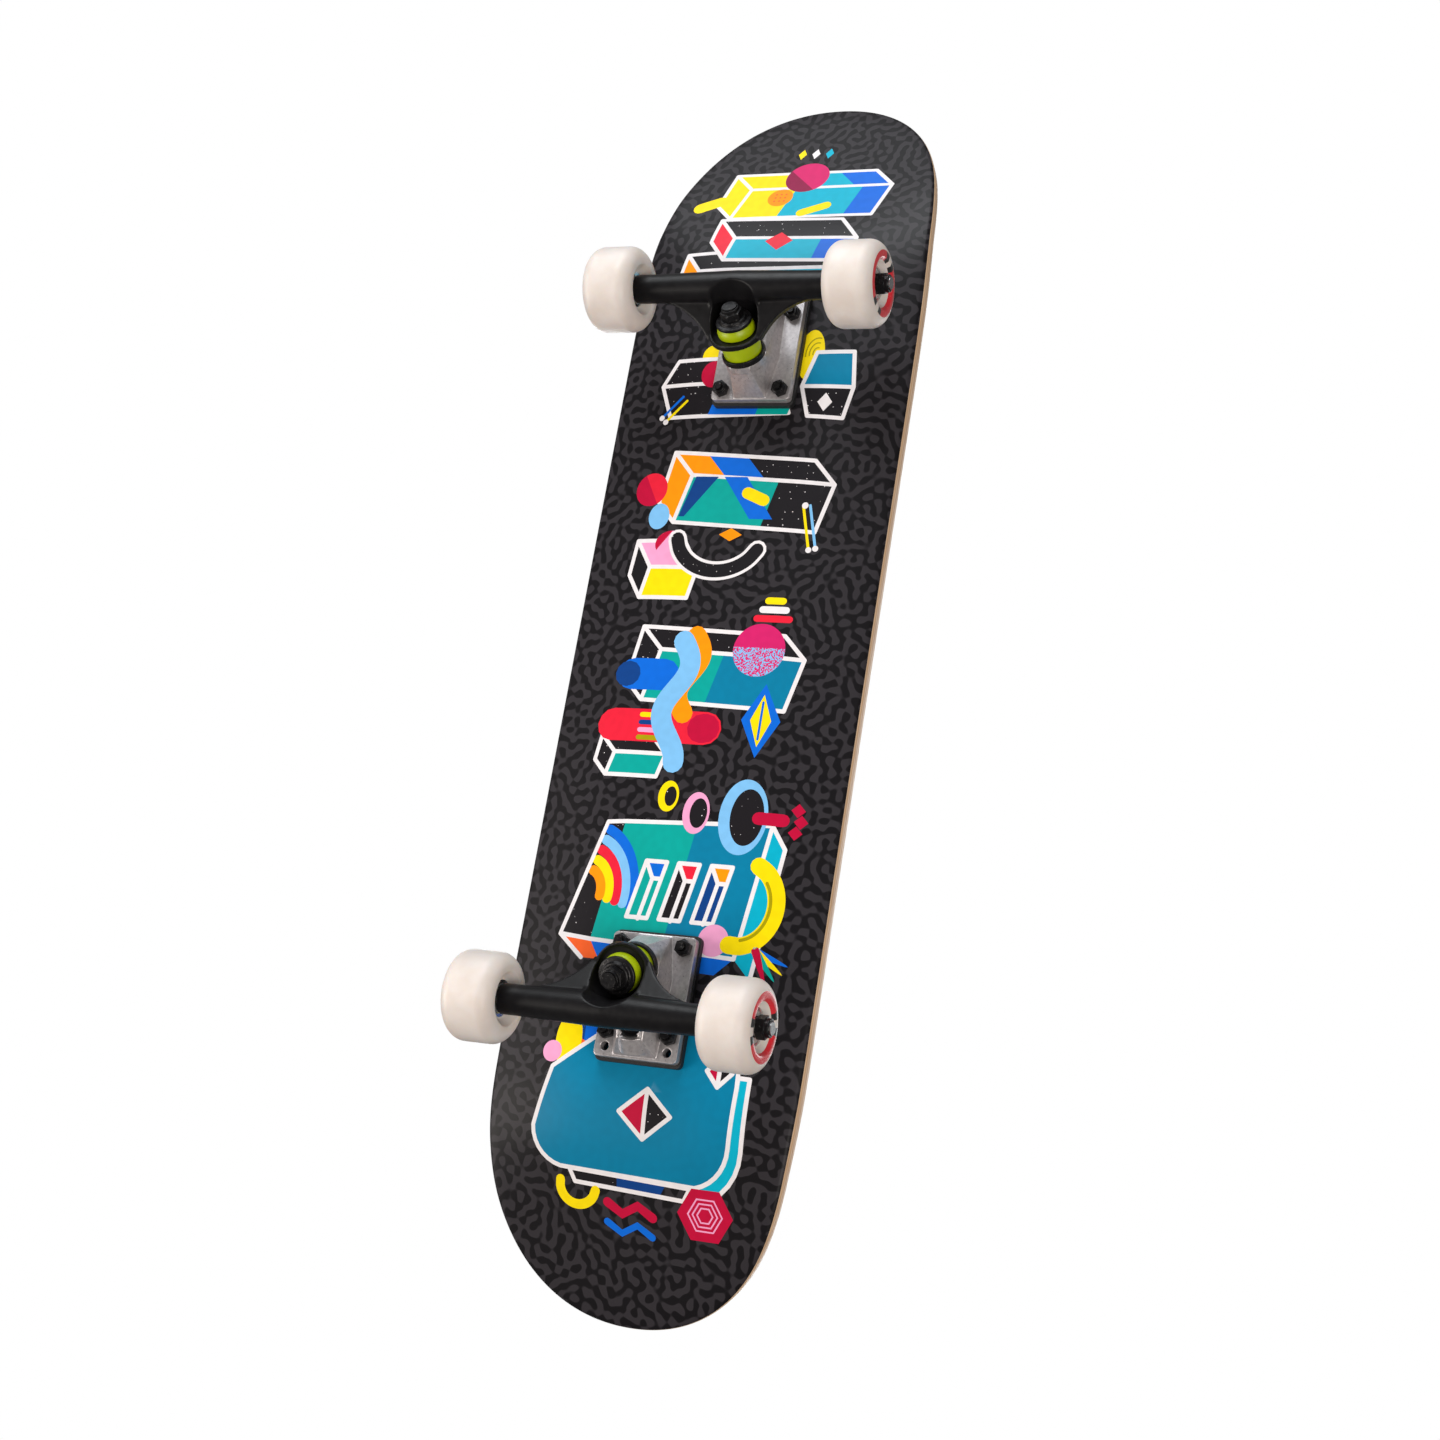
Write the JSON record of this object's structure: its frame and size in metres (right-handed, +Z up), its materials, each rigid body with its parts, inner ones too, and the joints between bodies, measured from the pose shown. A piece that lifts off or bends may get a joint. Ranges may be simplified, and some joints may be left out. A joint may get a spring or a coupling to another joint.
{
  "type": "skateboard",
  "caption": "Double-kick street skateboard: pressed maple deck with grip tape, two kingpin trucks that steer on urethane bushings, riser pads and small hard wheels on ball bearings.",
  "frame": {"origin": "on the ground, below the middle of the board's overall length and width", "axes": "+X towards the nose, +Y to the board's left when facing the nose, +Z up"},
  "size_m": [0.8388, 0.208, 0.154],
  "materials": {
    "maple_laminate": "satin lacquered edge, dark print on the underside",
    "grip": "coarse black grit",
    "black_rubber": "matt",
    "cast_aluminium": "tumbled satin casting",
    "bushing_urethane": "satin, lime green",
    "black_steel": "black oxide",
    "hanger_paint": "satin black paint on a casting",
    "steel": "bright zinc",
    "bearing_steel": "ground and polished",
    "cage_nylon": "natural nylon",
    "wheel_urethane": "smooth cast urethane, off-white"
  },
  "bodies": {
    "board": {"deck": "maple_laminate", "grip_tape": "grip", "front_riser_pad": "black_rubber", "front_baseplate": "cast_aluminium", "front_pivot_cup": "black_rubber", "front_kingpin": "black_steel", "front_inner_washer": "black_steel", "front_inner_bushing": "bushing_urethane", "front_outer_bushing": "bushing_urethane", "front_outer_washer": "black_steel", "front_kingpin_nut": "black_steel", "front_mounting_bolts": "black_steel", "front_mounting_nuts": "black_steel", "rear_riser_pad": "black_rubber", "rear_baseplate": "cast_aluminium", "rear_pivot_cup": "black_rubber", "rear_kingpin": "black_steel", "rear_inner_washer": "black_steel", "rear_inner_bushing": "bushing_urethane", "rear_outer_bushing": "bushing_urethane", "rear_outer_washer": "black_steel", "rear_kingpin_nut": "black_steel", "rear_mounting_bolts": "black_steel", "rear_mounting_nuts": "black_steel"},
    "front_truck": {"front_hanger": "hanger_paint", "front_axle": "steel", "front_speed_washers": "steel", "front_bearing_inner_races": "bearing_steel", "front_bearing_spacers": "steel", "front_axle_nuts": "black_steel"},
    "rear_truck": {"rear_hanger": "hanger_paint", "rear_axle": "steel", "rear_speed_washers": "steel", "rear_bearing_inner_races": "bearing_steel", "rear_bearing_spacers": "steel", "rear_axle_nuts": "black_steel"},
    "front_left_wheel": {"front_left_wheel": "wheel_urethane", "front_left_bearing_outer_races": "bearing_steel", "front_left_bearing_shields": "bearing_steel"},
    "front_left_ball_sets": {"front_left_bearing_balls": "bearing_steel", "front_left_bearing_cages": "cage_nylon"},
    "front_right_wheel": {"front_right_wheel": "wheel_urethane", "front_right_bearing_outer_races": "bearing_steel", "front_right_bearing_shields": "bearing_steel"},
    "front_right_ball_sets": {"front_right_bearing_balls": "bearing_steel", "front_right_bearing_cages": "cage_nylon"},
    "rear_left_wheel": {"rear_left_wheel": "wheel_urethane", "rear_left_bearing_outer_races": "bearing_steel", "rear_left_bearing_shields": "bearing_steel"},
    "rear_left_ball_sets": {"rear_left_bearing_balls": "bearing_steel", "rear_left_bearing_cages": "cage_nylon"},
    "rear_right_wheel": {"rear_right_wheel": "wheel_urethane", "rear_right_bearing_outer_races": "bearing_steel", "rear_right_bearing_shields": "bearing_steel"},
    "rear_right_ball_sets": {"rear_right_bearing_balls": "bearing_steel", "rear_right_bearing_cages": "cage_nylon"}
  },
  "joints": [
    {"name": "front_steer", "type": "hinge", "parent": "board", "child": "front_truck", "pos_m": [0.22755, 0, 0.071], "axis": [0.724, 0, 0.6898], "range_deg": [-15, 15], "stiffness_Nm_per_rad": 100, "deforming": ["front_inner_bushing", "front_outer_bushing"]},
    {"name": "rear_steer", "type": "hinge", "parent": "board", "child": "rear_truck", "pos_m": [-0.25065, 0, 0.071], "axis": [-0.724, 0, 0.6898], "range_deg": [-15, 15], "stiffness_Nm_per_rad": 100, "deforming": ["rear_inner_bushing", "rear_outer_bushing"]},
    {"name": "front_left_wheel_spin", "type": "hinge", "parent": "front_truck", "child": "front_left_wheel", "pos_m": [0.22135, 0.082, 0.0275], "axis": [0, 1, 0], "continuous": true},
    {"name": "front_left_ball_spin", "type": "hinge", "parent": "front_truck", "child": "front_left_ball_sets", "pos_m": [0.22135, 0.082, 0.0275], "axis": [0, 1, 0], "continuous": true},
    {"name": "front_right_wheel_spin", "type": "hinge", "parent": "front_truck", "child": "front_right_wheel", "pos_m": [0.22135, -0.082, 0.0275], "axis": [0, 1, 0], "continuous": true},
    {"name": "front_right_ball_spin", "type": "hinge", "parent": "front_truck", "child": "front_right_ball_sets", "pos_m": [0.22135, -0.082, 0.0275], "axis": [0, 1, 0], "continuous": true},
    {"name": "rear_left_wheel_spin", "type": "hinge", "parent": "rear_truck", "child": "rear_left_wheel", "pos_m": [-0.24445, 0.082, 0.0275], "axis": [0, 1, 0], "continuous": true},
    {"name": "rear_left_ball_spin", "type": "hinge", "parent": "rear_truck", "child": "rear_left_ball_sets", "pos_m": [-0.24445, 0.082, 0.0275], "axis": [0, 1, 0], "continuous": true},
    {"name": "rear_right_wheel_spin", "type": "hinge", "parent": "rear_truck", "child": "rear_right_wheel", "pos_m": [-0.24445, -0.082, 0.0275], "axis": [0, 1, 0], "continuous": true},
    {"name": "rear_right_ball_spin", "type": "hinge", "parent": "rear_truck", "child": "rear_right_ball_sets", "pos_m": [-0.24445, -0.082, 0.0275], "axis": [0, 1, 0], "continuous": true}
  ],
  "couplings": [
    {"joint": "front_left_ball_spin", "follows": "front_left_wheel_spin", "ratio": 0.6323},
    {"joint": "front_right_ball_spin", "follows": "front_right_wheel_spin", "ratio": 0.6323},
    {"joint": "rear_left_ball_spin", "follows": "rear_left_wheel_spin", "ratio": 0.6323},
    {"joint": "rear_right_ball_spin", "follows": "rear_right_wheel_spin", "ratio": 0.6323}
  ]
}
